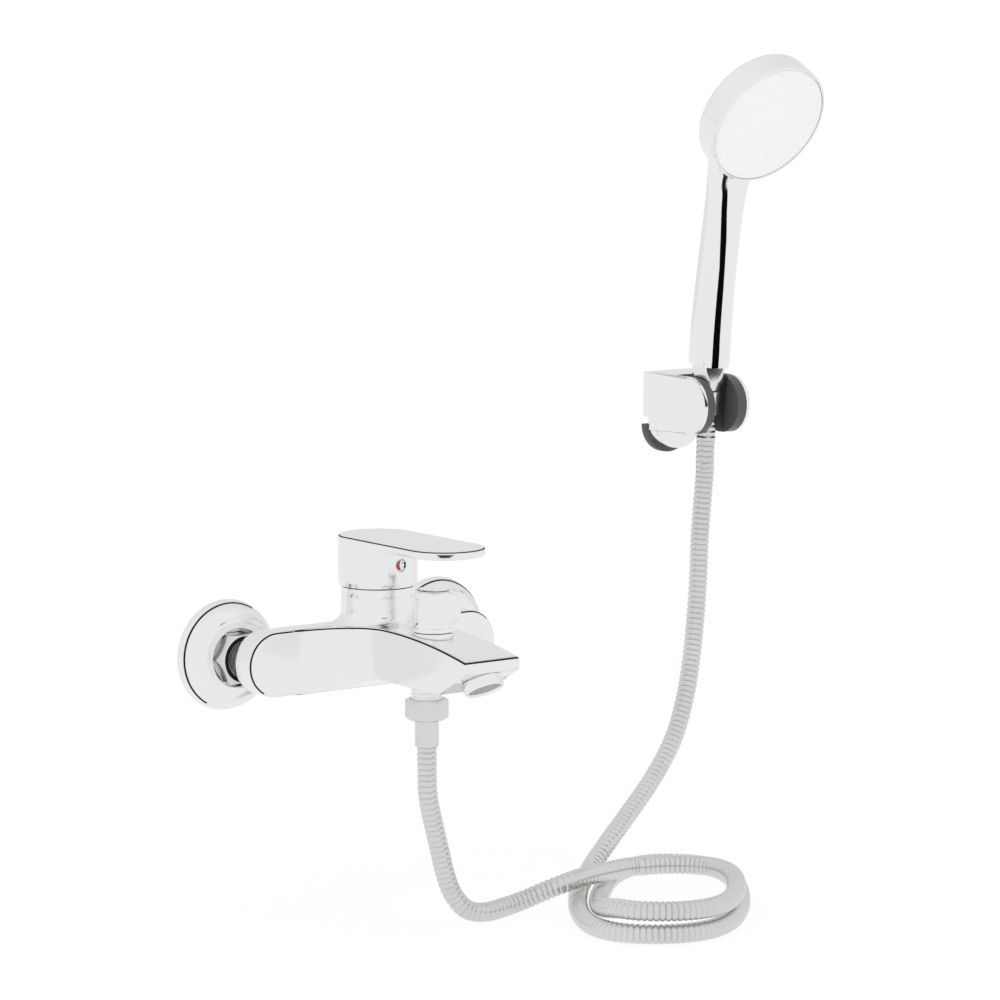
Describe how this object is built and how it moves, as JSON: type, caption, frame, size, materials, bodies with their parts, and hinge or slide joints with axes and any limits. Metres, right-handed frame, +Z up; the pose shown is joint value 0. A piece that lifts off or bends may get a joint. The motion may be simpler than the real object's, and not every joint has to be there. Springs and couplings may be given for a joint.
{
  "type": "bath shower mixer",
  "caption": "Wall-mounted single-lever bath mixer with a broad flat spout, a turn-knob diverter and a round hand shower on a coiled ribbed hose in a swivelling wall holder.",
  "frame": {"origin": "on the wall face, halfway between the two inlets", "axes": "+X along the wall to the right, -Y out of the wall into the room, +Z up"},
  "size_m": [0.4005, 0.235, 0.5013],
  "materials": {
    "bright_chrome": "polished",
    "satin_chrome": "satin",
    "chromed_plastic": "polished",
    "plain_metal": "satin",
    "brass": "machined",
    "ribbed_metal": "ribbed satin",
    "black_rubber": "matte",
    "cartridge_plastic": "matte",
    "ceramic": "lapped ceramic",
    "red_index": "gloss",
    "dark_plastic": "satin",
    "white_plastic": "satin",
    "nozzle_silicone": "matte"
  },
  "bodies": {
    "mixer": {"mixer_body": "bright_chrome", "wall_union_left": "plain_metal", "wall_union_right": "plain_metal", "wall_flange_left": "bright_chrome", "wall_flange_right": "bright_chrome", "union_nut_left": "bright_chrome", "union_nut_right": "bright_chrome", "inlet_washer_left": "black_rubber", "inlet_washer_right": "black_rubber", "inlet_nipple_left": "plain_metal", "inlet_nipple_right": "plain_metal", "cartridge_base": "cartridge_plastic", "cartridge_seals": "black_rubber", "fixed_disc": "ceramic", "cartridge_housing": "cartridge_plastic", "clamping_nut": "brass", "trim_ring": "bright_chrome", "diverter_bush": "plain_metal", "diverter_seals": "black_rubber", "aerator_housing": "bright_chrome", "aerator_insert": "dark_plastic", "aerator_washer": "black_rubber", "shower_outlet": "plain_metal", "hose_nut": "satin_chrome", "hose_washer": "black_rubber", "hose_sleeve_lower": "satin_chrome", "hose_lower": "ribbed_metal", "hose_coil": "ribbed_metal", "hose_upper": "ribbed_metal", "bracket_wall_plate": "dark_plastic", "bracket_body": "bright_chrome"},
    "lever_turn": {"cartridge_rotor": "cartridge_plastic", "stem_pin": "plain_metal"},
    "disc": {"moving_disc": "ceramic", "disc_carrier": "cartridge_plastic"},
    "lever": {"cartridge_stem": "brass", "lever_handle": "bright_chrome", "lever_screw": "plain_metal", "index_button": "red_index"},
    "diverter": {"diverter_plug": "brass", "diverter_knob": "bright_chrome", "diverter_screw": "plain_metal", "diverter_cap": "bright_chrome"},
    "cradle": {"holder_core": "dark_plastic", "hose_top": "ribbed_metal"},
    "handset": {"handset_body": "chromed_plastic", "face_ring": "chromed_plastic", "spray_plate": "white_plastic", "spray_nozzles": "nozzle_silicone", "face_seal": "black_rubber", "hose_cone_nut": "satin_chrome", "cone_washer": "black_rubber", "hose_sleeve_upper": "satin_chrome"}
  },
  "joints": [
    {"name": "lever_turn", "type": "hinge", "parent": "mixer", "child": "lever_turn", "pos_m": [0, -0.049, 0.03], "axis": [0, 0, 1], "range_deg": [-45, 45]},
    {"name": "lever_lift", "type": "hinge", "parent": "lever_turn", "child": "lever", "pos_m": [0, -0.049, 0.03], "axis": [-1, 0, 0], "range_deg": [0, 22]},
    {"name": "disc_slide", "type": "slide", "parent": "lever_turn", "child": "disc", "axis": [0, -1, 0], "range_m": [0, 0.0038]},
    {"name": "diverter_turn", "type": "hinge", "parent": "mixer", "child": "diverter", "pos_m": [0, -0.105, 0.02], "axis": [0, 0, 1], "range_deg": [0, 90]},
    {"name": "cradle_tilt", "type": "hinge", "parent": "mixer", "child": "cradle", "pos_m": [0.2525, -0.042, 0.1295], "axis": [1, 0, 0], "range_deg": [-12, 15], "deforming": ["hose_upper", "hose_top"]},
    {"name": "handset_lift", "type": "slide", "parent": "cradle", "child": "handset", "axis": [0, -0.0523, 0.9986], "range_m": [0, 0.045], "deforming": ["hose_top"]}
  ],
  "couplings": [
    {"joint": "disc_slide", "follows": "lever_lift", "m_per_rad": 0.00975}
  ]
}
